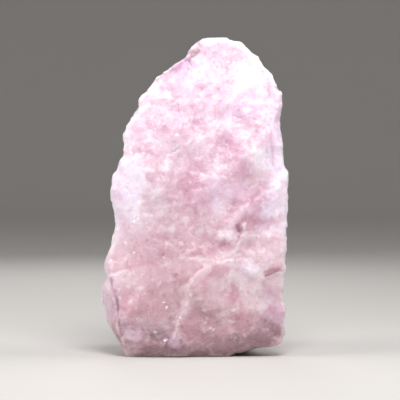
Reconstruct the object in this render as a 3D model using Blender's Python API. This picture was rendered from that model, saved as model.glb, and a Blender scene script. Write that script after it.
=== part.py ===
"""Rose quartz chunk: one lump of massive quartz, broken out rough and standing on its flat-broken foot.

The lump is a thick slab.  Its broad face looks along -Y, and the stone is widest just behind that face.
It is made the way the real one got its shape: a slab with the broken rim's outline, narrowed towards the
back, cleaved by the broad fracture planes of its front and back, and then roughened by smaller flakes.
Lengths below are millimetres.  The frame is +Z up, with the origin under the middle of the stone, on the
surface that it stands on.
"""

import bmesh
import bpy
from mathutils import Vector, geometry, noise

MM = 0.001
DEPTH = 54.0            # front to back through the thickest part, before the planes are cleaved
HALF_DEPTH = DEPTH / 2
FOOT_LEVEL = 0.0        # the flat break that the stone stands on
NODE = "rose_quartz_chunk"

# The broken rim seen from the front, as (x, z), clockwise from the left end of the foot.
RIM = [
    (-32.0, -9.0), (-36.0, 2.5), (-38.0, 7.5), (-42.0, 14.0), (-44.0, 18.5), (-45.0, 24.0),
    (-47.0, 28.5), (-47.5, 32.0), (-45.5, 35.0), (-43.5, 38.0), (-43.0, 40.5), (-45.0, 45.5),
    (-43.0, 50.5), (-41.5, 55.5), (-39.5, 66.0), (-39.5, 72.0), (-40.5, 78.5), (-40.5, 88.0),
    (-39.5, 93.5), (-38.0, 98.0), (-35.0, 101.0), (-34.5, 105.0), (-35.5, 109.0), (-34.0, 114.5),
    (-32.0, 119.0), (-30.0, 120.5), (-28.0, 125.0), (-28.5, 127.0), (-24.0, 133.0), (-20.0, 138.5),
    (-16.5, 141.5), (-9.5, 146.0), (-6.0, 149.5), (-0.5, 156.0), (5.0, 158.5), (13.0, 159.5),
    (21.0, 158.0), (26.5, 155.0), (27.5, 153.0), (34.0, 148.0), (37.5, 141.5), (41.5, 133.5),
    (43.5, 131.0), (44.0, 128.0), (42.5, 122.0), (42.5, 113.0), (44.0, 106.5), (44.0, 102.5),
    (45.3, 98.5), (45.2, 94.5), (47.0, 93.0), (47.0, 90.5), (46.0, 82.0), (45.5, 62.0),
    (44.0, 45.0), (44.5, 37.0), (44.0, 31.5), (45.2, 22.0), (45.0, 12.0), (43.5, 6.5),
    (41.5, 5.0), (30.5, 4.5), (19.0, 1.0), (13.0, -9.0), (-10.0, -10.0),
]

# The rim narrows towards this upright line inside the stone, given by its two ends as (x, z).
SPINE = ((0.0, 38.0), (8.0, 116.0))

# Where the front's edge is broken away: middle of the break (x, z), reach along the rim, width, depth.
BREAKS = [
    ((-46.0, 24.0), 22.0, 6.5, 16.0),   # lower left cheek
    ((-45.0, 46.0), 8.0, 3.0, 8.0),     # the sliver above it
    ((-12.0, 144.0), 26.0, 3.5, 6.0),   # upper left shoulder
    ((43.0, 116.0), 28.0, 3.5, 8.0),    # upper right edge
    ((44.0, 4.0), 12.0, 2.5, 4.0),      # lower right corner
]
EDGE_WIDTH = 0.8        # width and depth of the edge where nothing larger broke away
EDGE_DEPTH = 3.0

BACK_TAPER = 0.24       # how far the back rim moves towards the spine, as a share of its distance
SIDE_BULGE = 0.07       # the same, halfway back
MIDDLE = 4.0            # y of the ring between the widest one and the back rim
FOOT_HEIGHT = 36.0      # below this the rim narrows sideways only, so that the foot stays deep

# Oblique breaks across the sides of the slab, each as a point (x, y, z) and the way it faces.
SIDE_BREAKS = [
    ((41.0, 4.0, 118.0), (1.0, 0.55, 0.42)),     # upper right
    ((42.0, 6.0, 62.0), (1.0, 0.42, -0.06)),     # middle right
    ((40.0, 10.0, 22.0), (1.0, 0.35, -0.42)),    # lower right
    ((-37.0, 8.0, 108.0), (-1.0, 0.60, 0.30)),   # upper left
    ((-41.0, 12.0, 55.0), (-1.0, 0.75, -0.10)),  # middle left
    ((-38.0, 12.0, 14.0), (-1.0, 0.30, -0.35)),  # lower left
    ((-12.0, 6.0, 146.0), (-0.45, 0.55, 1.0)),   # left shoulder
    ((14.0, 11.0, 155.0), (0.10, 0.70, 1.0)),    # crown
]

# Fracture planes as (x, z, y, slope along x, slope along z): a point of the plane and how y changes.
FRONT_PLANES = [
    (0.0, 20.0, -25.5, 0.00, -0.03),     # lower face, nearly upright
    (0.0, 60.0, -25.0, 0.00, 0.07),      # middle, leaning back a little
    (0.0, 112.0, -19.5, 0.02, 0.24),     # upper face, leaning back more
    (30.0, 75.0, -22.0, 0.22, 0.05),     # right side
    (-34.0, 80.0, -22.0, -0.30, 0.04),   # left side
    (20.0, 8.0, -24.0, 0.05, -0.35),     # undercut of the lower right corner
]
BACK_PLANES = [
    (0.0, 40.0, 26.0, -0.03, -0.02),     # main back
    (0.0, 90.0, 22.0, -0.10, -0.14),     # upper back, leaning forward
    (20.0, 60.0, 19.5, -0.50, 0.06),     # right of the back
    (-24.0, 70.0, 20.5, 0.55, -0.05),    # left of the back
    (0.0, 18.0, 23.5, -0.10, 0.30),      # undercut above the foot
    (-5.0, 140.0, 16.0, 0.16, -0.34),    # top of the back
]

# Steps where one flake ended on the broad face: points (x, z) along the step's edge, its height, and
# how far the raised side, on the right of the way the points run, takes to sink back.
STEPS = [
    ([(16.5, 66.0), (20.5, 71.5), (28.0, 76.5), (36.5, 82.5), (41.5, 87.0), (50.0, 95.0)], 1.5, 18.0),
    ([(-10.0, 6.0), (-9.0, 15.0), (-4.5, 23.5), (-3.0, 35.0), (0.5, 40.0), (6.0, 44.0)], 1.6, 16.0),
    ([(46.0, 43.0), (33.0, 38.5), (22.0, 44.0)], 1.5, 12.0),
    ([(-44.0, 39.5), (-34.0, 44.0), (-24.0, 45.0)], 1.0, 14.0),
]

STEP_DEPTH = 18.0       # how far behind the broad face the steps die out

# Roughness, as (size, height): broad swells, the dished scars of small and large flakes, and grain.
SWELL = (34.0, 1.3)
SMALL_FLAKES = (16.0, 1.9)
LARGE_FLAKES = (30.0, 6.5)      # only on the sides and the back
GRAIN = (8.0, 0.35)
ROUGH_FROM = -14.0              # y where the large flakes start, and where they are at full height
ROUGH_TO = 12.0
CALM_RIM = 0.7                  # share of the roughness that the sides lose just behind the broad face

REMESH = 1.1            # spacing of the even mesh that the flaking works on
TRIANGLES = 10000       # of the finished stone, before its foot is cut flat
SEED = 5                # fixes the offsets that noise_vector reads, which otherwise follow the clock


def nearest_on_spine(x, z):
    foot, head = Vector(SPINE[0]), Vector(SPINE[1])
    point, along = geometry.intersect_point_line(Vector((x, z)), foot, head)
    return point.xy if 0.0 <= along <= 1.0 else (foot if along < 0.0 else head)


def inwards(x, z):
    """From a rim point to the spine, level near the foot."""
    to_spine = nearest_on_spine(x, z) - Vector((x, z))
    to_spine.y *= min(1.0, max(0.0, z / FOOT_HEIGHT))
    return to_spine


def smooth(t):
    t = min(1.0, max(0.0, t))
    return t * t * (3.0 - 2.0 * t)


def broken_edge(x, z):
    """(width, depth) of the break along the front's edge at a rim point."""
    width, depth = EDGE_WIDTH, EDGE_DEPTH
    for middle, reach, most_width, most_depth in BREAKS:
        share = smooth(1.0 - (Vector((x, z)) - Vector(middle)).length / reach)
        width = max(width, most_width * share)
        depth = max(depth, most_depth * share)
    return width, depth


def softened(ring, reach):
    """The ring with each point moved to the mean of its neighbours, so that notches of the rim die out."""
    count, near = len(ring), range(-reach, reach + 1)
    return [sum((ring[(i + k) % count] for k in near), Vector()) / len(near) for i in range(count)]


def rim_rings():
    """Closed rings of points from the front edge to the back rim."""
    front, widest, middle, back = [], [], [], []
    for x, z in RIM:
        width, depth = broken_edge(x, z)
        to_spine = inwards(x, z)
        inset = to_spine.normalized() * width
        front.append(Vector((x + inset.x, -HALF_DEPTH, z + inset.y)))
        widest.append(Vector((x, depth - HALF_DEPTH, z)))
        bulge = to_spine * SIDE_BULGE
        middle.append(Vector((x + bulge.x, MIDDLE, z + bulge.y)))
        taper = to_spine * BACK_TAPER
        back.append(Vector((x + taper.x, HALF_DEPTH, z + taper.y)))
    return front, widest, softened(middle, 2), softened(back, 4)


def slab(rings):
    """A closed mesh through the rings, capped flat at both ends."""
    bm = bmesh.new()
    loops = []
    for ring in rings:
        verts = [bm.verts.new(point) for point in ring]
        ends = zip(verts, verts[1:] + verts[:1])
        loops.append([bm.edges.new(pair) for pair in ends])
    for near, far in zip(loops, loops[1:]):
        bmesh.ops.bridge_loops(bm, edges=near + far)
    for cap in (loops[0], loops[-1]):
        bmesh.ops.triangle_fill(bm, use_beauty=True, edges=cap)
    bmesh.ops.recalc_face_normals(bm, faces=bm.faces)
    return bm


def break_off(bm, point, facing):
    """Removes what lies beyond a plane and closes the cut."""
    geom = bm.verts[:] + bm.edges[:] + bm.faces[:]
    bmesh.ops.bisect_plane(bm, geom=geom, plane_co=point, plane_no=facing, clear_outer=True)
    bmesh.ops.holes_fill(bm, edges=[e for e in bm.edges if e.is_boundary])
    bmesh.ops.triangulate(bm, faces=bm.faces)


def plane_depth(plane, x, z):
    at_x, at_z, y, slope_x, slope_z = plane
    return y + slope_x * (x - at_x) + slope_z * (z - at_z)


def step_height(x, z):
    """How far the flake steps raise the broad face at (x, z)."""
    here, raised = Vector((x, z)), 0.0
    for points, height, fade in STEPS:
        nearest, side = None, 0.0
        for a, b in zip(points, points[1:]):
            a, b = Vector(a), Vector(b)
            foot, along = geometry.intersect_point_line(here, a, b)
            foot = a if along < 0.0 else b if along > 1.0 else foot.xy
            away = (here - foot).length
            if nearest is None or away < nearest:
                nearest, side = away, (b - a).cross(here - a)
        if side < 0.0:
            raised += height * smooth(1.0 - nearest / fade)
    return raised


def cleaved(point):
    """The slab's point moved so that its flat faces lie on the fracture planes."""
    x, y, z = point
    front = max(plane_depth(plane, x, z) for plane in FRONT_PLANES)
    back = min(plane_depth(plane, x, z) for plane in BACK_PLANES)
    share = (y + HALF_DEPTH) / DEPTH
    frontness = smooth(1.0 - share * DEPTH / STEP_DEPTH)
    return Vector((x, front + (back - front) * share - step_height(x, z) * frontness, z))


def scalloped(point, size, height, shift):
    """A surface of shallow dished flakes of about this size, which meet in ridges."""
    bend = noise.noise_vector(point / (size * 1.4) + shift) * 0.6
    nearest = noise.voronoi(point / size + bend + shift)[0][0]
    return (nearest * nearest - 0.25) * height


def flaked(point, normal):
    """Height of the roughened surface over its fracture plane, in mm.

    The back is the rougher side.  Behind the front's edge the sides are calm, so that the rim stays crisp.
    """
    backness = smooth((point.y - ROUGH_FROM) / (ROUGH_TO - ROUGH_FROM))
    calm = 1.0 - CALM_RIM * (1.0 - abs(normal.y)) * (1.0 - backness)
    swell = noise.noise(point / SWELL[0]) * SWELL[1]
    small = scalloped(point, *SMALL_FLAKES, Vector((3.1, 7.7, 1.9)))
    large = scalloped(point, *LARGE_FLAKES, Vector((8.3, 0.4, 5.2))) * backness
    grain = noise.fractal(point / GRAIN[0], 0.9, 2.1, 3) * GRAIN[1]
    return (swell + small + large + grain) * calm


def evaluated_mesh(obj):
    graph = bpy.context.evaluated_depsgraph_get()
    return bpy.data.meshes.new_from_object(obj.evaluated_get(graph))


def with_modifier(mesh, kind, **settings):
    """The mesh after one modifier."""
    obj = bpy.data.objects.new("shaping", mesh)
    bpy.context.scene.collection.objects.link(obj)
    modifier = obj.modifiers.new(kind.title(), kind)
    for name, value in settings.items():
        setattr(modifier, name, value)
    result = evaluated_mesh(obj)
    bpy.data.objects.remove(obj)
    return result


def chunk_mesh():
    mesh = bpy.data.meshes.new("slab")
    bm = slab(rim_rings())
    for point, facing in SIDE_BREAKS:
        break_off(bm, point, facing)
    bm.to_mesh(mesh)
    bm.free()
    mesh = with_modifier(mesh, "REMESH", mode="VOXEL", voxel_size=REMESH)
    for vert in mesh.vertices:
        vert.co = cleaved(vert.co)
    mesh = with_modifier(mesh, "REMESH", mode="VOXEL", voxel_size=REMESH)
    flakes = [vert.normal * flaked(vert.co, vert.normal) for vert in mesh.vertices]
    for vert, flake in zip(mesh.vertices, flakes):
        vert.co += flake
    mesh = with_modifier(mesh, "DECIMATE", ratio=TRIANGLES / (2 * len(mesh.polygons)))
    return mesh


def stand_on_foot(bm):
    """Cuts the foot flat and puts the origin under the middle of the stone."""
    geom = bm.verts[:] + bm.edges[:] + bm.faces[:]
    cut = bmesh.ops.bisect_plane(
        bm, geom=geom, plane_co=(0, 0, FOOT_LEVEL), plane_no=(0, 0, 1), clear_inner=True
    )
    rim = [e for e in cut["geom_cut"] if isinstance(e, bmesh.types.BMEdge)]
    bmesh.ops.holes_fill(bm, edges=rim)
    bmesh.ops.triangulate(bm, faces=bm.faces)
    xs = [v.co.x for v in bm.verts]
    ys = [v.co.y for v in bm.verts]
    middle = Vector(((min(xs) + max(xs)) / 2, (min(ys) + max(ys)) / 2, FOOT_LEVEL))
    bmesh.ops.translate(bm, vec=-middle, verts=bm.verts)
    bmesh.ops.scale(bm, vec=(MM, MM, MM), verts=bm.verts)


def rose_quartz():
    material = bpy.data.materials.new("rose_quartz")
    material.use_nodes = True
    shader = material.node_tree.nodes["Principled BSDF"]
    shader.inputs["Base Color"].default_value = (0.80, 0.55, 0.62, 1.0)
    shader.inputs["Roughness"].default_value = 0.35
    shader.inputs["Metallic"].default_value = 0.0
    shader.inputs["IOR"].default_value = 1.544
    return material


def main():
    for old in list(bpy.data.objects):
        bpy.data.objects.remove(old)
    noise.seed_set(SEED)
    bm = bmesh.new()
    bm.from_mesh(chunk_mesh())
    stand_on_foot(bm)
    mesh = bpy.data.meshes.new(NODE)
    bm.to_mesh(mesh)
    bm.free()
    mesh.materials.append(rose_quartz())
    chunk = bpy.data.objects.new(NODE, mesh)
    bpy.context.scene.collection.objects.link(chunk)


main()
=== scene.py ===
"""The looks of a rose quartz chunk: one lump of massive pink quartz, broken out rough and standing on end.

Lengths in the lists and in the stone's arrays are millimetres.  The broad face looks along -Y, and +Z is up.
"""

import bmesh
import bpy
import numpy as np
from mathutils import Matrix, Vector, noise


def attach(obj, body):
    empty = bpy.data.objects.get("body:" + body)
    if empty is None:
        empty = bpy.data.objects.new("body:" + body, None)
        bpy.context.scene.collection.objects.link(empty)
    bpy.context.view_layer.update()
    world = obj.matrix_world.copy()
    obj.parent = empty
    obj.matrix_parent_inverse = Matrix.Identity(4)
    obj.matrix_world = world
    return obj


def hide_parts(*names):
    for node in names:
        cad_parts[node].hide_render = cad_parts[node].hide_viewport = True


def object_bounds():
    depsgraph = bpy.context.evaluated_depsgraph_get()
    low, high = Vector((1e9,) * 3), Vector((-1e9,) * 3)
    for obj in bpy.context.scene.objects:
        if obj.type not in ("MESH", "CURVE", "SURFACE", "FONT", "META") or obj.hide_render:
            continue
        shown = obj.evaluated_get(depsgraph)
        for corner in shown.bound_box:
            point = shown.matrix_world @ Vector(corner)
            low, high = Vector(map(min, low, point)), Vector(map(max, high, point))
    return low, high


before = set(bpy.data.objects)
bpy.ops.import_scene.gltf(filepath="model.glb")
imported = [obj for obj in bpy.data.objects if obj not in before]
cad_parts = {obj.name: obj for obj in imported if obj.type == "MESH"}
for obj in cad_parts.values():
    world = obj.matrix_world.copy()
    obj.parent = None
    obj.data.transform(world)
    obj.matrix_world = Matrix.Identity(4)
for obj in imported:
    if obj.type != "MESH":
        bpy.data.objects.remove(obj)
cad_low, cad_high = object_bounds()

# ---------------------------------------------------------------------------------------------------------
# The view: nearly level with the stone's middle and square to its broad face, from far enough off that the
# stone looks upright and unforced.
# ---------------------------------------------------------------------------------------------------------
MM = 0.001
VIEW_TARGET = Vector((2.8, 0.0, 77.4)) * MM
VIEW_DISTANCE = 900 * MM
VIEW_TILT = np.radians(2.0)             # how far the camera looks down
VIEW_SPAN = 204 * MM                    # what the square frame takes in at the target, across and up

camera_data = bpy.data.cameras.new("camera")
camera_data.sensor_width = 36.0
camera_data.lens = camera_data.sensor_width * VIEW_DISTANCE / VIEW_SPAN
camera_data.clip_start = 0.05
camera_data.clip_end = 20.0
camera = bpy.data.objects.new("camera", camera_data)
bpy.context.scene.collection.objects.link(camera)
look_back = Vector((0.0, -np.cos(VIEW_TILT), np.sin(VIEW_TILT)))
camera.location = VIEW_TARGET + look_back * VIEW_DISTANCE
camera.rotation_mode = "QUATERNION"
camera.rotation_quaternion = (-look_back).to_track_quat("-Z", "Y")
bpy.context.scene.camera = camera

# ---------------------------------------------------------------------------------------------------------
# The stone is one lump of massive quartz.  That has no cleavage, so it breaks in shallow dished scars and
# splinter faces, with small steps where one crack ran out beside another.  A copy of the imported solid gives
# its large planes, and is remeshed finely to take the marks of the break.
# ---------------------------------------------------------------------------------------------------------
FINE = 0.7              # spacing of the fine mesh
SMOOTHING = 4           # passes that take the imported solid's flat triangles out
MERGE = 0.005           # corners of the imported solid's loose triangles that are this close are one corner
noise.seed_set(11)      # noise_vector reads its offsets from here

solid = bmesh.new()
solid.from_mesh(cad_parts["rose_quartz_chunk"].data)
bmesh.ops.remove_doubles(solid, verts=solid.verts, dist=MERGE * MM)
rough_mesh = bpy.data.meshes.new("rough_stone")
solid.to_mesh(rough_mesh)
solid.free()
rough = bpy.data.objects.new("rough_stone", rough_mesh)
bpy.context.scene.collection.objects.link(rough)
remesh = rough.modifiers.new("fine", "REMESH")
remesh.mode = "VOXEL"
remesh.voxel_size = FINE * MM
evaluated = rough.evaluated_get(bpy.context.evaluated_depsgraph_get())
stone_mesh = bpy.data.meshes.new_from_object(evaluated)
stone_mesh.name = "rose_quartz_stone"
bpy.data.objects.remove(rough)

work = bmesh.new()
work.from_mesh(stone_mesh)
for _ in range(SMOOTHING):
    bmesh.ops.smooth_vert(work, verts=work.verts, factor=0.5,
                          use_axis_x=True, use_axis_y=True, use_axis_z=True)
work.normal_update()

places = np.array([v.co for v in work.verts]) / MM
normals = np.array([v.normal for v in work.verts])
points = [Vector(p) for p in places]


def ramp(values, low, high):
    """0 at low, 1 at high and smooth between them."""
    t = np.clip((values - low) / (high - low), 0.0, 1.0)
    return t * t * (3.0 - 2.0 * t)


def field(value_at, size, shift=(0.0, 0.0, 0.0)):
    """A noise function read at every point of the stone, with features of about this size.

    A shift reads another part of the noise.
    """
    shift = Vector(shift)
    return np.array([value_at(p / size + shift) for p in points])


def scars(position):
    """Dished scars that meet in ridges: 0 in their middles and about 1 where they meet."""
    (near, *_), _ = noise.voronoi(position + noise.noise_vector(position * 0.7) * 0.5)
    return near * near


def facets(position):
    """Flat splinter faces, each tilted its own way."""
    _, (cell, *_) = noise.voronoi(position + noise.noise_vector(position * 0.5) * 0.35)
    tilt = noise.cell_vector(cell * 31.0) - Vector((0.5, 0.5, 0.5))
    return (position - cell).dot(tilt)


def cloud(position):
    """Soft uneven noise about 0."""
    return noise.fractal(position, 0.8, 2.1, 4)


front = ramp(-normals[:, 1], 0.15, 0.55) * ramp(-places[:, 1], -2.0, 6.0)      # 1 on the broad face
foot = ramp(2.5 - places[:, 2], 0.0, 2.0) * ramp(-normals[:, 2], 0.6, 0.9)      # 1 where the stone stands

# Each point's place on the broad face, shifted by about a millimetre so that what is put there gets the
# frayed edges of a break.
fray = np.array([noise.noise_vector(p / 7.0) * 1.1 + noise.noise_vector(p / 2.2) * 0.6 for p in points])
face_x = places[:, 0] + fray[:, 0]
face_z = places[:, 2] + fray[:, 2]
ragged = ramp(field(cloud, 4.5, (3.0, 8.0, 5.0)), -0.45, 0.45)      # lines and patches come and go with it


def off_line(line):
    """Distance of every point from a line of (x, z) points on the broad face, and on which side it lies."""
    nearest = np.full(len(face_x), 1e9)
    left = np.zeros(len(face_x))
    for (ax, az), (bx, bz) in zip(line, line[1:]):
        run_x, run_z = bx - ax, bz - az
        along = ((face_x - ax) * run_x + (face_z - az) * run_z) / (run_x ** 2 + run_z ** 2)
        along = np.clip(along, 0.0, 1.0)
        to_x, to_z = face_x - ax - along * run_x, face_z - az - along * run_z
        away = np.hypot(to_x, to_z)
        closer = away < nearest
        nearest[closer] = away[closer]
        left[closer] = np.sign(run_x * to_z - run_z * to_x)[closer]
    return nearest, left


def band(away, width):
    """1 on a line and 0 past about its half width, wider and narrower by turns."""
    return ramp(width * (0.8 + 0.5 * ragged) - away, 0.0, width)


def zones(list_of_zones):
    """Soft patches on the broad face, each (x, z, half width, half height, strength)."""
    total = np.zeros(len(face_x))
    for x, z, wide, high, strength in list_of_zones:
        away = np.hypot((face_x - x) / wide, (face_z - z) / high)
        total = np.maximum(total, ramp(1.2 + 0.5 * ragged - away, 0.0, 1.1) * strength)
    return total


def seams(list_of_lines):
    """Soft bands that come and go along lines on the broad face, each (line, half width, strength)."""
    total = np.zeros(len(face_x))
    for line, width, strength in list_of_lines:
        away, _ = off_line(line)
        total = np.maximum(total, band(away, width) * strength * (0.35 + 0.65 * ragged))
    return total


# Lines on the broad face where cracks come out or one break stops at another, as (x, z).
LONG_RIB = [(-10, 6), (-9.5, 13.5), (-8, 19), (-5, 23.5), (-3.5, 29), (-3, 35), (0.5, 40), (5, 43.5)]
SHOULDER_STEP = [(20.5, 71.5), (27.5, 76.5), (36, 82), (41.5, 87), (46, 92)]
DIAGONAL_SEAM = [(-16, 100), (-6, 104.5), (3, 108.5), (9, 111), (13.5, 114.5)]
SEAM_HOOK = [(13.5, 114.5), (18, 119.5), (18, 126.5), (15.5, 131.5)]
OPEN_SEAM = [(-13.5, 101), (-7, 104.5)]
FINE_SEAM = [(22.5, 118.5), (31.5, 123.5)]
JAGGED_CRACK = [(25.5, 66.5), (24.5, 64.5), (26, 62), (23.5, 60), (24, 58.5), (21.5, 56.5), (21.5, 54.5),
                (18.5, 51.5)]
JAGGED_SHADE = [(24, 65), (24, 62), (21.5, 59.5), (20.5, 57)]
CROSS_STEP = [(-8, 53), (-4, 50), (3, 48.8), (12, 48.5), (24, 49.5)]
FAN_RIB = [(19, 51.5), (24, 45.5), (28.5, 40.5), (34.5, 37)]
RIGHT_LEDGE = [(33, 38.5), (38, 40.2), (46, 43)]
LEFT_LEDGE = [(-43, 41), (-38, 42), (-34, 44)]
CHEEK_EDGE = [(-41.5, 39), (-40, 33.5), (-39, 26), (-37.5, 15), (-36.5, 11)]
CRESCENT = [(-1.5, 30.5), (1, 28.5), (3.5, 29.5)]
FOOT_GLEAM = [(23.5, 9.5), (28, 13.5), (32, 18.5)]
RIM_SEAM = [(38, 136), (38, 122), (38.5, 108), (39.5, 95)]
RIM_HAIRLINE = [(35.5, 128), (35.5, 116), (36, 104), (36.5, 92)]
TOP_BEVEL = [(3, 155.5), (-1, 152.5), (-5, 146.5), (-10, 143), (-17, 139.5)]

# Where the pink fibres lie thickest, and painted shade as deeper pink in two pits and the recess above the
# right ledge.
rose = zones([
    (-8, 146, 7, 5, 1.6), (18, 144, 4, 4, 0.4), (8, 134, 8, 6, 0.7), (6, 123, 10, 4, 0.3),
    (-12, 114, 8, 7, 0.5), (-23, 103, 7, 4, 0.6), (1, 116, 6, 5, 0.4), (16, 104, 7, 8, 0.9),
    (-1, 88, 6, 13, 1.0), (25, 91, 6, 5, 0.3), (31, 85, 5, 3, 0.3), (-1, 72, 7, 6, 0.6),
    (-20, 69, 7, 4, 0.2), (-8, 57, 9, 12, 0.35), (21, 75, 5, 4, 0.4), (27, 66, 6, 4, 0.6),
    (22, 63, 3, 3, 0.9), (15, 56, 3.5, 3.5, 0.6), (2, 52, 9, 3, 0.6), (38, 44, 6, 2.5, 0.8),
    (5, 35, 5, 4, 0.6), (-18, 37, 8, 4, 0.4), (19, 31, 6, 4, 0.5), (-34, 29, 4, 8, 0.2),
    (3, 20, 5, 7, 0.8), (24, 17, 5, 5, 0.6), (-31, 108, 6, 14, 0.2), (41, 128, 3, 6, 0.5),
])
rose = np.maximum(rose, seams([(TOP_BEVEL, 3.4, 0.9)]))
# Where healed cracks and bubbles make it milky, and painted light where the stone is brighter lit, as on its
# left side.
milk_and_highlights = zones([
    (27, 137, 8, 14, 1.0), (36, 122, 5, 11, 0.9), (36, 101, 3, 6, 0.8), (-18, 131, 6, 3, 0.8),
    (-3, 128, 7, 3, 0.7), (-2, 143, 4, 3, 0.4), (-12, 122, 6, 3, 0.3), (7, 119, 4, 4, 0.7),
    (-15, 95, 3, 3, 0.9), (11, 96, 3, 3, 0.8), (-31, 86, 8, 17, 1.5), (-36, 74, 6, 6, 1.4),
    (-14, 110, 7, 3, 0.4), (11, 93, 5, 7, 0.5), (-19, 79, 6, 7, 0.7), (42, 84, 5, 22, 1.1),
    (39, 74, 6, 5, 1.6), (13, 75, 4, 5, 0.6), (-27, 68, 9, 6, 0.7), (34, 99, 6, 9, 1.2),
    (3, 104, 9, 6, 0.5), (15, 61, 6, 3, 0.8), (36, 50, 5, 4, 0.6), (26, 40, 9, 8, 2.0),
    (-35, 52, 4, 10, 0.4), (-36, 39, 4, 3, 0.6), (-44, 26, 4, 12, 0.8), (15, 21, 3, 7, 0.6),
    (30, 28, 7, 5, 1.1), (-30, 11, 5, 4, 0.7), (-10, 11, 4, 3, 0.5), (-1, 34, 5, 8, 0.4),
    (-22.5, 70, 2, 1.5, 0.9), (-16.5, 72, 2, 1.5, 0.9), (-11.5, 64.5, 2, 2, 0.8), (-4.5, 68.5, 1.5, 2, 0.9),
    (3, 63, 2, 1.5, 0.8), (-14, 57, 1.5, 1.5, 0.9), (33, 129, 4, 6, 1.4),
])
# Milky seams along cracks, and painted highlights along the lit edges of steps, ledges, ribs and the jagged
# crack.
milk_and_highlights = np.maximum(milk_and_highlights, seams([
    (LONG_RIB, 4.2, 0.5), (JAGGED_CRACK, 1.2, 1.0), (DIAGONAL_SEAM, 1.8, 1.2), (SEAM_HOOK, 2.6, 0.8),
    (SHOULDER_STEP, 1.3, 0.3), (CROSS_STEP, 2.2, 0.6), (FAN_RIB, 4.0, 0.8), (LEFT_LEDGE, 1.5, 0.9),
    (FOOT_GLEAM, 1.3, 0.7),
]))
# Painted glints: small white points, a little wider than they are high.
PAINTED_GLINT_POINTS = [(34.5, 25.5), (19.5, 24), (17, 18.5), (18.5, 17.5), (4, 23.5), (6, 19), (5, 17), (8, 14),
                  (9.5, 13.5), (20.5, 9.5), (-15, 9.5), (-19, 13), (-33, 35)]
GLINT_REACH = 1.3
GLINT_WHITE = 1.6
for x, z in PAINTED_GLINT_POINTS:
    away = np.hypot(face_x - x, (face_z - z) * 1.4)
    milk_and_highlights = np.maximum(milk_and_highlights, ramp(GLINT_REACH - away, 0.0, 0.7) * GLINT_WHITE)
# Smoky where traces of other minerals tint it, mostly at the foot, plus painted shade at the foot and in
# pits.
smoke_and_shade = zones([
    (-9, 144, 7, 4, 0.6), (21, 75, 4, 3, 0.25), (22, 63.5, 2, 2.5, 0.3), (15, 56, 3, 2.5, 0.2),
    (-9, 59, 12, 9, 0.15), (-11, 20, 4, 6, 0.35), (4, 16, 7, 9, 0.5), (22, 13, 4, 5, 0.5),
    (34, 13, 5, 5, 0.7), (-17, 11, 5, 3, 1.0), (8, 9, 5, 4, 0.6), (31, 10, 12, 7, 0.9),
    (-19, 5, 10, 3, 0.7), (5, 4, 40, 4, 0.4),
])
# Painted shade in the grooves of open cracks, the cheek edge and the rim, and beside the jagged crack.
smoke_and_shade = np.maximum(smoke_and_shade, seams([
    (OPEN_SEAM, 0.6, 0.5), (JAGGED_SHADE, 0.8, 0.7), (CHEEK_EDGE, 1.0, 0.7), (RIM_SEAM, 0.8, 0.3),
    (RIM_HAIRLINE, 0.6, 0.3), (TOP_BEVEL, 3.4, 0.8),
]))
# Where the veils are finest they scatter a bluish light, which turns the pink to lilac.
lilac = zones([
    (-43, 26, 6, 14, 0.5), (-32, 13, 8, 7, 0.5), (-36, 85, 9, 16, 0.5), (37, 74, 8, 12, 0.5),
    (42, 105, 6, 24, 0.5), (14, 82, 13, 7, 0.5), (24, 125, 12, 8, 0.4), (-12, 8, 5, 5, 0.6),
    (40, 24, 6, 9, 0.5), (25, 45, 6, 4, 0.4), (-8, 146, 7, 5, 1.0),
])

# Where the break is sugary, with many small faces: in patches, and in the milky stone of the broad face.
SUGARY_PATCH = 20.0
sugary = np.maximum(ramp(field(cloud, SUGARY_PATCH, (4.0, 1.0, 7.0)), 0.0, 0.5), 0.8 * milk_and_highlights * front)


def terraces(values, steps):
    """The values cut into flat steps with sharp risers."""
    level = values * steps
    whole = np.floor(level)
    return (whole + ramp(level - whole, 0.72, 1.0)) / steps


# The marks of the break, as how far across each is and how high it stands.  The broad face has fewer of the
# large ones, and the small ones are mostly in the sugary patches.
SCAR, SCAR_HEIGHT = 9.0, 1.2
SMALL_SCAR, SMALL_SCAR_HEIGHT = 3.6, 0.25
SPLINTER, SPLINTER_HEIGHT = 6.5, 1.5
SMALL_SPLINTER, SMALL_SPLINTER_HEIGHT = 2.4, 0.45
TERRACE, TERRACE_HEIGHT, TERRACE_STEPS = 26.0, 1.6, 7.0
RIPPLE, RIPPLE_HEIGHT = 4.0, 0.12

height = field(scars, SCAR) * SCAR_HEIGHT * (1.0 - 0.75 * front)
height += field(scars, SMALL_SCAR, (5.0, 2.0, 8.0)) * SMALL_SCAR_HEIGHT * (0.1 + 0.9 * sugary)
height += field(facets, SPLINTER, (1.0, 9.0, 3.0)) * SPLINTER_HEIGHT * (1.0 - 0.72 * front)
height += field(facets, SMALL_SPLINTER, (7.0, 4.0, 2.0)) * SMALL_SPLINTER_HEIGHT * (0.2 + 0.8 * sugary)
height += terraces(field(cloud, TERRACE, (9.0, 3.0, 4.0)), TERRACE_STEPS) * TERRACE_HEIGHT
height += field(cloud, RIPPLE, (2.0, 6.0, 1.0)) * RIPPLE_HEIGHT
height -= height.mean()
# Smoothing rounds the solid's rims and its sharp corner low on the right, so they are filled out again.
RIM_FILL = 0.3
CORNER_FILL = 1.3
height += RIM_FILL * (1.0 - front)
height += CORNER_FILL * ramp(places[:, 0], 20.0, 34.0) * ramp(10.0 - places[:, 2], 0.0, 5.0)
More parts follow.
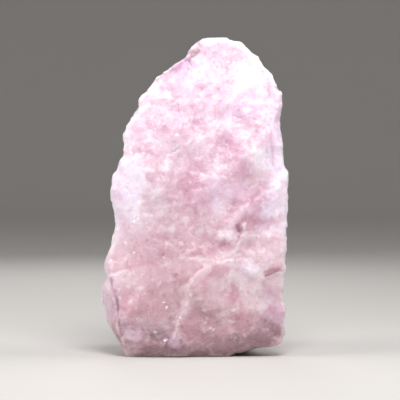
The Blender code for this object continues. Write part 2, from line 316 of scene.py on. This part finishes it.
# The two long sides bulge and draw in, each place as (1 right or -1 left, z, half height, rise).
for side, z, reach, rise in [(-1, 128.5, 4, 1.8), (-1, 97, 12, -1.3), (-1, 13, 8, 1.0),
                             (1, 147, 10, -1.3), (1, 122.5, 6, 1.2), (1, 10, 8, 1.4)]:
    near = ramp(reach - abs(places[:, 2] - z), 0.0, reach * 0.8)
    height += ramp(side * normals[:, 0], 0.2, 0.7) * near * rise

# Ribs stand proud of the broad face on both sides of their line.
for line, width, rise in [(LONG_RIB, 3.6, 0.9), (JAGGED_CRACK, 1.3, 0.5), (FAN_RIB, 3.5, 0.4),
                          (CRESCENT, 1.2, 0.5)]:
    away, _ = off_line(line)
    height += band(away, width) * rise * front
# A groove follows an open crack.
for line, width, depth in [(OPEN_SEAM, 0.8, 0.3), (CHEEK_EDGE, 1.3, 0.7), (FINE_SEAM, 0.8, 0.3),
                           (RIM_SEAM, 0.9, 0.35), (RIM_HAIRLINE, 0.7, 0.25)]:
    away, _ = off_line(line)
    height -= band(away, width) * depth * front
# A lip drops off on the left of the way its line runs, and the surface comes back up over the reach.  With
# a drop below 0 it stands up instead.
for line, reach, drop in [(RIGHT_LEDGE, 5.0, 1.8), (CROSS_STEP, 4.0, 0.5), (SHOULDER_STEP, 6.0, -0.3),
                          (DIAGONAL_SEAM, 4.0, -0.3), (LEFT_LEDGE, 4.0, 0.6)]:
    away, left = off_line(line)
    begins = ramp(np.hypot(face_x - line[0][0], face_z - line[0][1]), 0.0, reach)
    height -= ramp(reach - away, 0.0, reach) * drop * (left > 0) * begins * front
# Pits where a splinter fell out, and one swell, as (x, z, radius, depth).
for x, z, radius, depth in [(23, 63, 2.4, 1.5), (21.5, 65, 2.2, 1.0), (15, 56.5, 3.8, 1.2),
                            (27.5, 55.5, 4.0, 0.9), (1, 30, 1.8, 0.6), (27, 93, 9, -0.7)]:
    away = np.hypot(face_x - x, face_z - z)
    height -= ramp(radius - away, 0.0, radius * 0.8) * depth * front

# Low down, what faces the ground is smoother, and the stone stays flat where it stands.
UNDERSIDE_CALM = 0.7
under = ramp(-normals[:, 2], 0.2, 0.7) * ramp(16.0 - places[:, 2], 0.0, 8.0)
places = places + normals * (height * (1.0 - foot) * (1.0 - UNDERSIDE_CALM * under))[:, None]
places = np.clip(places, np.array(cad_low) / MM, np.array(cad_high) / MM)
for vert, place in zip(work.verts, places):
    vert.co = Vector(place) * MM
work.normal_update()

# How far a point stands proud of the stone around it, near by and further off.  Proud edges are painted
# whiter, partly as crushed stone and partly as highlight, rims are painted pale as light showing through thin
# stone, and hollows are painted deeper in colour as shade.
NEAR_PASSES = 10        # these average over about 1 mm
FAR_PASSES = 150        # and these over about 4 mm
edge_ends = np.array([[v.index for v in edge.verts] for edge in work.edges])
neighbours = np.bincount(edge_ends.ravel(), minlength=len(places))


def spread(values, passes):
    """The values averaged with those of neighbouring points, over and over."""
    for _ in range(passes):
        total = np.bincount(edge_ends[:, 0], values[edge_ends[:, 1]], len(values))
        total += np.bincount(edge_ends[:, 1], values[edge_ends[:, 0]], len(values))
        values = (values + total / neighbours) / 2
    return values


final_normals = np.array([v.normal for v in work.verts])
near_by = np.stack([spread(places[:, axis], NEAR_PASSES) for axis in range(3)], axis=1)
far_off = np.stack([spread(near_by[:, axis], FAR_PASSES) for axis in range(3)], axis=1)
proud = spread(((places - near_by) * final_normals).sum(axis=1), 1)
rim = spread(((near_by - far_off) * final_normals).sum(axis=1), NEAR_PASSES)
# How far in a point lies from the stone's left or right edge at its height, or from its top.
SLICE = 2.0
TOP_INSET = 6.0         # the very top counts as this far in
slices = (places[:, 2] / SLICE).astype(int)
left_edge = np.full(slices.max() + 1, np.inf)
right_edge = np.full(slices.max() + 1, -np.inf)
np.minimum.at(left_edge, slices, places[:, 0])
np.maximum.at(right_edge, slices, places[:, 0])
heights = (np.arange(len(left_edge)) + 0.5) * SLICE
inward = np.minimum(places[:, 0] - np.interp(places[:, 2], heights, left_edge),
                    np.interp(places[:, 2], heights, right_edge) - places[:, 0])
inward = spread(np.minimum(inward, places[:, 2].max() - places[:, 2] + TOP_INSET), NEAR_PASSES)

work.to_mesh(stone_mesh)
work.free()
stone_mesh.shade_smooth()
stone = bpy.data.objects.new("rose_quartz_stone", stone_mesh)
bpy.context.scene.collection.objects.link(stone)
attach(stone, "root")
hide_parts("rose_quartz_chunk")
# The placed patches lie on the broad face and end where it turns away.  proud and rim are in millimetres.
on_front = ramp(-normals[:, 1], -0.05, 0.3)
for name, values in [("rose", rose * on_front), ("milk_and_highlights", milk_and_highlights * on_front), ("smoke_and_shade", smoke_and_shade * on_front),
                     ("lilac", lilac * on_front), ("proud", proud), ("rim", rim), ("inward", inward * MM)]:
    layer = stone_mesh.attributes.new(name, "FLOAT", "POINT")
    layer.data.foreach_set("value", np.asarray(values, np.float32))

# Broken rose quartz: fine pink fibres in clear quartz tint it, and healed cracks and tiny bubbles cloud it,
# so light sinks in and comes out milky.  A fresh break has a glassy to waxy gloss.
material = bpy.data.materials.new("rose_quartz_broken")
material.use_nodes = True
nodes = material.node_tree.nodes
links = material.node_tree.links
shader = nodes["Principled BSDF"]


def linear(code):
    """An sRGB hex colour as the linear values that a shader takes."""
    parts = [int(code[i:i + 2], 16) / 255 for i in (0, 2, 4)]
    return [c / 12.92 if c <= 0.04045 else ((c + 0.055) / 1.055) ** 2.4 for c in parts] + [1.0]


def add(kind, inputs, out=0, **settings):
    """Adds a shader node with its settings, sets or links its inputs, and gives one of its outputs."""
    made = nodes.new("ShaderNode" + kind)
    for name, value in settings.items():
        setattr(made, name, value)
    for name, value in inputs.items():
        if isinstance(value, bpy.types.NodeSocket):
            links.new(value, made.inputs[name])
        else:
            made.inputs[name].default_value = value
    return made.outputs[out]


PALE_LILAC = linear("EACFDF")
PALE_PINK = linear("E9CED7")
FOOT_PINK_AND_SHADE = linear("9C7980")
DEEP_PINK = linear("DAADBC")
DEEP_LILAC = linear("DCB4CB")
MILK_AND_GLOW = linear("F8EDF7")
MILK_AND_GLOW_BELOW = linear("F3DFE5")
SMOKE_AND_SHADE = linear("9F838B")
BLUISH = linear("F5F0FF")

SMOOTH = {"interpolation_type": "SMOOTHSTEP"}
COLOUR = {"data_type": "RGBA"}      # such a mix takes its colours at inputs 6 and 7 and gives output 2
LESS = {"operation": "SUBTRACT"}
TIMES = {"operation": "MULTIPLY"}
LARGER = {"operation": "MAXIMUM"}

place = add("TexCoord", {}, "Object")
up = add("SeparateXYZ", {0: place}, "Z")
rose_there = add("Attribute", {}, "Fac", attribute_name="rose")
milk_and_highlights_there = add("Attribute", {}, "Fac", attribute_name="milk_and_highlights")
smoke_and_shade_there = add("Attribute", {}, "Fac", attribute_name="smoke_and_shade")
lilac_there = add("Attribute", {}, "Fac", attribute_name="lilac")
proud_by = add("Attribute", {}, "Fac", attribute_name="proud")
rim_there = add("Attribute", {}, "Fac", attribute_name="rim")
from_edge = add("Attribute", {}, "Fac", attribute_name="inward")

# Veils and clouds are wider than they are high, and are bent by up to half of BEND either way.  The turn
# comes after the stretch, so it only chooses which clouds there are.
BEND = 12 * MM
lie = add("Mapping", {"Vector": place, "Rotation": (0.0, np.radians(28.0), 0.0), "Scale": (0.75, 1.0, 1.25)})
bend = add("TexNoise", {"Vector": lie, "Scale": 1 / (15 * MM), "Detail": 5.0, "Roughness": 0.6}, "Color")
bend = add("VectorMath", {0: bend, 1: (0.5, 0.5, 0.5)}, **LESS)
bent = add("VectorMath", {0: bend, 1: (BEND, BEND, BEND), 2: lie}, operation="MULTIPLY_ADD")

# The body colour is lilac at the top, pink below, and greyer and darker at the foot, partly as painted shade.
rise = add("MapRange", {"Value": up, "From Min": 25 * MM, "From Max": 130 * MM, "To Max": 0.75}, **SMOOTH)
drift = add("TexNoise", {"Vector": place, "Scale": 1 / (60 * MM), "Roughness": 0.55})
drift = add("MapRange", {"Value": drift, "From Min": 0.35, "From Max": 0.7, "To Max": 0.35}, **SMOOTH)
zoned = add("Math", {0: rise, 1: drift})
body = add("Mix", {0: zoned, 6: PALE_PINK, 7: PALE_LILAC}, 2, **COLOUR)
above_foot = add("MapRange", {"Value": up, "From Min": -2 * MM, "From Max": 38 * MM}, **SMOOTH)
body = add("Mix", {0: above_foot, 6: FOOT_PINK_AND_SHADE, 7: body}, 2, **COLOUR)

# The pink is deeper in clouds of fibres, and is painted deeper as shade in hollows and where the stone is
# thick.  Near the top it is paler and more lilac.
hollow_shade = add("MapRange", {"Value": proud_by, "From Min": -0.03, "From Max": -0.2, "To Max": 0.2}, **SMOOTH)
thick_shade = add("MapRange", {"Value": from_edge, "From Min": 6 * MM, "From Max": 26 * MM,
                         "To Max": 0.15}, **SMOOTH)
deep_cloud = add("TexNoise", {"Vector": bent, "Scale": 1 / (20 * MM), "Detail": 5.0, "Roughness": 0.55})
deep_cloud = add("MapRange", {"Value": deep_cloud, "From Min": 0.42, "From Max": 0.7,
                              "To Max": 0.75}, **SMOOTH)
deep = add("Math", {0: hollow_shade, 1: thick_shade})
deep = add("Math", {0: deep, 1: deep_cloud})
lower = add("MapRange", {"Value": up, "From Min": 150 * MM, "From Max": 70 * MM}, **SMOOTH)
share_of_deep = add("Math", {0: lower, 1: 0.45}, use_clamp=True)
deep = add("Math", {0: deep, 1: share_of_deep}, **TIMES)
strands = add("TexNoise", {"Vector": bent, "Scale": 1 / (5 * MM), "Detail": 6.0, "Roughness": 0.65})
strands = add("MapRange", {"Value": strands, "From Min": 0.2, "From Max": 0.65, "To Min": 0.5}, **SMOOTH)
strands = add("Math", {0: rose_there, 1: strands}, **TIMES)
share_of_strands = add("Math", {0: lower, 1: 0.6}, use_clamp=True)
strands = add("Math", {0: strands, 1: share_of_strands}, **TIMES)
fibres_and_shade = add("Math", {0: deep, 1: strands})
deep_colour = add("Mix", {0: rise, 6: DEEP_PINK, 7: DEEP_LILAC}, 2, **COLOUR)
pink = add("Mix", {0: fibres_and_shade, 6: body, 7: deep_colour}, 2, **COLOUR)

# Milky clouds are made of fine veils, and hold back where the fibres are thick.
veils = add("TexNoise", {"Vector": bent, "Scale": 1 / (4.2 * MM), "Detail": 9.0, "Roughness": 0.64,
                         "Distortion": 0.6})
veils_in_clouds = add("MapRange", {"Value": veils, "From Min": 0.2, "From Max": 0.65,
                                   "To Min": 0.4, "To Max": 0.95}, **SMOOTH)
clouds = add("TexNoise", {"Vector": bent, "Scale": 1 / (16 * MM), "Detail": 4.0, "Roughness": 0.55})
clouds = add("MapRange", {"Value": clouds, "From Min": 0.48, "From Max": 0.72, "To Max": 0.5}, **SMOOTH)
held_back = add("Math", {0: rose_there, 1: 1.3}, use_clamp=True, **TIMES)
elsewhere = add("Math", {0: 1.0, 1: held_back}, **LESS)
clouds = add("Math", {0: clouds, 1: elsewhere}, **TIMES)
# The placed milk, with its painted highlights and glints, joins the clouds here.
clouds = add("Math", {0: clouds, 1: milk_and_highlights_there}, **LARGER)
milky_and_lit = add("Math", {0: clouds, 1: veils_in_clouds}, **TIMES)
# Thin healed cracks, here and there.
cracks = add("TexVoronoi", {"Vector": bent, "Scale": 1 / (8 * MM)}, "Distance", feature="DISTANCE_TO_EDGE")
cracks = add("MapRange", {"Value": cracks, "From Min": 0.04, "From Max": 0.0, "To Max": 0.45}, **SMOOTH)
cracked = add("TexNoise", {"Vector": place, "Scale": 1 / (9 * MM), "Detail": 3.0, "Roughness": 0.55})
cracked = add("MapRange", {"Value": cracked, "From Min": 0.48, "From Max": 0.6}, **SMOOTH)
cracks = add("Math", {0: cracks, 1: cracked}, **TIMES)
milky_and_lit = add("Math", {0: milky_and_lit, 1: cracks}, **LARGER)
# Proud edges are whiter: partly crushed stone, partly a painted highlight.
crushed_and_highlit = add("MapRange", {"Value": proud_by, "From Min": 0.03, "From Max": 0.2, "To Max": 0.3}, **SMOOTH)
milky_and_lit = add("Math", {0: milky_and_lit, 1: crushed_and_highlit}, **LARGER)
# Painted light: rims and stone near the edges are paler, painted as light showing through thin stone, with a
# wandering inner border.  They fade towards foot and top.
RIM_WANDER = 13 * MM
wander = add("TexNoise", {"Vector": bent, "Scale": 1 / (8 * MM), "Detail": 5.0, "Roughness": 0.55})
glow_border = add("Math", {0: wander, 1: RIM_WANDER, 2: from_edge}, operation="MULTIPLY_ADD")
glow_border = add("MapRange", {"Value": glow_border, "From Min": 16 * MM, "From Max": 5 * MM, "To Max": 0.72}, **SMOOTH)
painted_rim_glow = add("MapRange", {"Value": rim_there, "From Min": 0.1, "From Max": 1.2, "To Max": 0.6}, **SMOOTH)
veils_in_rims = add("MapRange", {"Value": veils, "From Min": 0.3, "From Max": 0.6}, **SMOOTH)
painted_rim_glow = add("Math", {0: painted_rim_glow, 1: veils_in_rims}, **TIMES)
painted_rim_glow = add("Math", {0: painted_rim_glow, 1: glow_border}, **LARGER)
off_foot = add("MapRange", {"Value": up, "From Min": 10 * MM, "From Max": 75 * MM}, **SMOOTH)
off_top = add("MapRange", {"Value": up, "From Min": 165 * MM, "From Max": 105 * MM}, **SMOOTH)
clear_of_smoke_and_shade = add("Math", {0: 1.0, 1: smoke_and_shade_there}, **LESS)
painted_rim_glow = add("Math", {0: painted_rim_glow, 1: elsewhere}, **TIMES)
painted_rim_glow = add("Math", {0: painted_rim_glow, 1: off_foot}, **TIMES)
painted_rim_glow = add("Math", {0: painted_rim_glow, 1: off_top}, **TIMES)
painted_rim_glow = add("Math", {0: painted_rim_glow, 1: clear_of_smoke_and_shade}, **TIMES)
milky_and_lit = add("Math", {0: milky_and_lit, 1: painted_rim_glow}, **LARGER)
# The milk and the painted highlights and glow are pinker low down.
low_down = add("MapRange", {"Value": up, "From Min": 75 * MM, "From Max": 25 * MM}, **SMOOTH)
milk_and_glow_colour = add("Mix", {0: low_down, 6: MILK_AND_GLOW, 7: MILK_AND_GLOW_BELOW}, 2, **COLOUR)
colour = add("Mix", {0: milky_and_lit, 6: pink, 7: milk_and_glow_colour}, 2, **COLOUR)

# White flecks lie in the milky stone, and pink dust everywhere.  The real ones are mostly finer, and are
# drawn this coarse so that they show.
specks = add("TexNoise", {"Vector": place, "Scale": 1 / (0.7 * MM), "Detail": 3.0, "Roughness": 0.7})
flecks = add("MapRange", {"Value": specks, "From Min": 0.48, "From Max": 0.7, "To Max": 0.7}, **SMOOTH)
where_milky_and_lit = add("MapRange", {"Value": milky_and_lit, "From Min": 0.05, "From Max": 0.6}, **SMOOTH)
flecks = add("Math", {0: flecks, 1: where_milky_and_lit}, **TIMES)
colour = add("Mix", {0: flecks, 6: colour, 7: MILK_AND_GLOW}, 2, **COLOUR)
dust = add("MapRange", {"Value": specks, "From Min": 0.5, "From Max": 0.3, "To Max": 0.1}, **SMOOTH)
colour = add("Mix", {0: dust, 6: colour, 7: DEEP_PINK}, 2, **COLOUR)

# Smoke and painted shade lie between the veils, and the lilac patches are tinted last.
smoky_and_shaded = add("MapRange", {"Value": veils, "From Min": 0.75, "From Max": 0.35}, **SMOOTH)
smoky_and_shaded = add("Math", {0: smoky_and_shaded, 1: smoke_and_shade_there}, **TIMES)
colour = add("Mix", {0: smoky_and_shaded, 6: colour, 7: SMOKE_AND_SHADE}, 2, **COLOUR)
colour = add("Mix", {0: lilac_there, 6: colour, 7: BLUISH}, 2, blend_type="MULTIPLY", **COLOUR)
links.new(colour, shader.inputs["Base Color"])

# The break is a mosaic of small splinter faces, each tilted its own way, with a fine grit over them.
# One face in ten stands steeper and is glassier than the rest, so it glints, mostly low on the stone.  Real
# splinter faces and grit go down to a tenth of a millimetre, and are drawn this coarse so that they show.
GRIT_HEIGHT = 0.22 * MM
chips = {"Vector": place, "Scale": 1 / (1.3 * MM)}
chip_way = add("TexVoronoi", chips, "Color")
chip_centre = add("TexVoronoi", chips, "Position")
chip_tilt = add("VectorMath", {0: chip_way, 1: (0.5, 0.5, 0.5)}, **LESS)
chip_from = add("VectorMath", {0: place, 1: chip_centre}, **LESS)
chip_rise = add("VectorMath", {0: chip_tilt, 1: chip_from}, "Value", operation="DOT_PRODUCT")
odd_one = add("SeparateXYZ", {0: chip_way}, "Y")
odd_one = add("MapRange", {"Value": odd_one, "From Min": 0.88, "From Max": 0.92}, **SMOOTH)
few_above = add("MapRange", {"Value": up, "From Min": 40 * MM, "From Max": 110 * MM,
                             "To Min": 1.0, "To Max": 0.25})
odd_one = add("Math", {0: odd_one, 1: few_above}, **TIMES)
steep = add("MapRange", {"Value": odd_one, "To Min": 0.35, "To Max": 1.25})
chip_rise = add("Math", {0: chip_rise, 1: steep}, **TIMES)
grit = add("TexNoise", {"Vector": place, "Scale": 1 / (0.8 * MM), "Detail": 3.0, "Roughness": 0.55})
relief = add("Math", {0: grit, 1: GRIT_HEIGHT, 2: chip_rise}, operation="MULTIPLY_ADD")
bump = add("Bump", {"Height": relief, "Strength": 1.0, "Distance": 1.0})
links.new(bump, shader.inputs["Normal"])

# Waxy and glassy patches lie beside each other.
dull = add("TexNoise", {"Vector": place, "Scale": 1 / (3 * MM), "Detail": 5.0, "Roughness": 0.55})
dull = add("MapRange", {"Value": dull, "From Min": 0.35, "From Max": 0.65, "To Min": 0.22, "To Max": 0.55})
glassy = add("MapRange", {"Value": odd_one, "To Min": 1.0, "To Max": 0.3})
gloss = add("Math", {0: dull, 1: glassy}, **TIMES)
links.new(gloss, shader.inputs["Roughness"])

QUARTZ_IOR = 1.544
LIGHT_REACH = 10 * MM       # how far red light gets in the cloudy stone, and green and blue a little less
shader.inputs["IOR"].default_value = QUARTZ_IOR
shader.inputs["Subsurface Weight"].default_value = 1.0
shader.inputs["Subsurface Radius"].default_value = (1.0, 0.8, 0.84)
shader.inputs["Subsurface Scale"].default_value = LIGHT_REACH
stone_mesh.materials.clear()
stone_mesh.materials.append(material)

# ---------------------------------------------------------------------------------------------------------
# The floor and the light: a pale seamless sweep that rises all round, a soft light close above the front,
# weaker ones from both sides and one behind.  The sweep is painted board.
# ---------------------------------------------------------------------------------------------------------
FLOOR_RADIUS = 1.5
SWEEP_RADIUS = 0.8
SWEEP_TOP = 2.6
BOARD_GREY = linear("CBC8C5")
ROOM_GLOW = 0.4

sweep = bmesh.new()
start = sweep.verts.new((0.0, 0.0, 0.0))
last = sweep.verts.new((FLOOR_RADIUS, 0.0, 0.0))
sweep.edges.new((start, last))
bmesh.ops.spin(sweep, geom=[last], cent=(FLOOR_RADIUS, 0.0, SWEEP_RADIUS), axis=(0.0, -1.0, 0.0),
               angle=np.radians(90), steps=24, use_merge=False, use_duplicate=False)
top = max(sweep.verts, key=lambda v: v.co.z)
sweep.edges.new((top, sweep.verts.new((FLOOR_RADIUS + SWEEP_RADIUS, 0.0, SWEEP_TOP))))
bmesh.ops.spin(sweep, geom=sweep.verts[:] + sweep.edges[:], cent=(0.0, 0.0, 0.0), axis=(0.0, 0.0, 1.0),
               angle=np.radians(360), steps=96, use_merge=True, use_duplicate=False)
bmesh.ops.remove_doubles(sweep, verts=sweep.verts, dist=0.1 * MM)
bmesh.ops.recalc_face_normals(sweep, faces=sweep.faces)
floor_mesh = bpy.data.meshes.new("floor")
sweep.to_mesh(floor_mesh)
sweep.free()
floor_mesh.shade_smooth()
floor = bpy.data.objects.new("floor", floor_mesh)
bpy.context.scene.collection.objects.link(floor)
board = bpy.data.materials.new("painted_board")
board.use_nodes = True
board.node_tree.nodes["Principled BSDF"].inputs["Base Color"].default_value = BOARD_GREY
board.node_tree.nodes["Principled BSDF"].inputs["Roughness"].default_value = 0.9
floor_mesh.materials.append(board)


def soft_light(name, at, aim, size, watts):
    """A round soft light at one point, turned to another, with its size across in metres."""
    data = bpy.data.lights.new(name, "AREA")
    data.shape = "DISK"
    data.size = size
    data.energy = watts
    lamp = bpy.data.objects.new(name, data)
    bpy.context.scene.collection.objects.link(lamp)
    lamp.location = at
    lamp.visible_camera = False
    lamp.rotation_mode = "QUATERNION"
    lamp.rotation_quaternion = (Vector(aim) - Vector(at)).to_track_quat("-Z", "Y")


soft_light("key", (0.05, -0.26, 0.41), (0.0, 0.0, 0.10), 0.22, 1.67)
soft_light("left", (-0.70, -0.15, 0.45), (0.0, 0.0, 0.08), 0.45, 3.2)
soft_light("right", (0.65, 0.03, 0.55), (0.0, 0.0, 0.10), 0.45, 2.0)
soft_light("back", (-0.1, 0.55, 0.40), (0.0, 0.0, 0.10), 0.3, 0.9)
world = bpy.data.worlds.new("room")
world.use_nodes = True
world.node_tree.nodes["Background"].inputs["Color"].default_value = (1.0, 1.0, 1.0, 1.0)
world.node_tree.nodes["Background"].inputs["Strength"].default_value = ROOM_GLOW
bpy.context.scene.world = world
bpy.context.scene.view_settings.view_transform = "Standard"
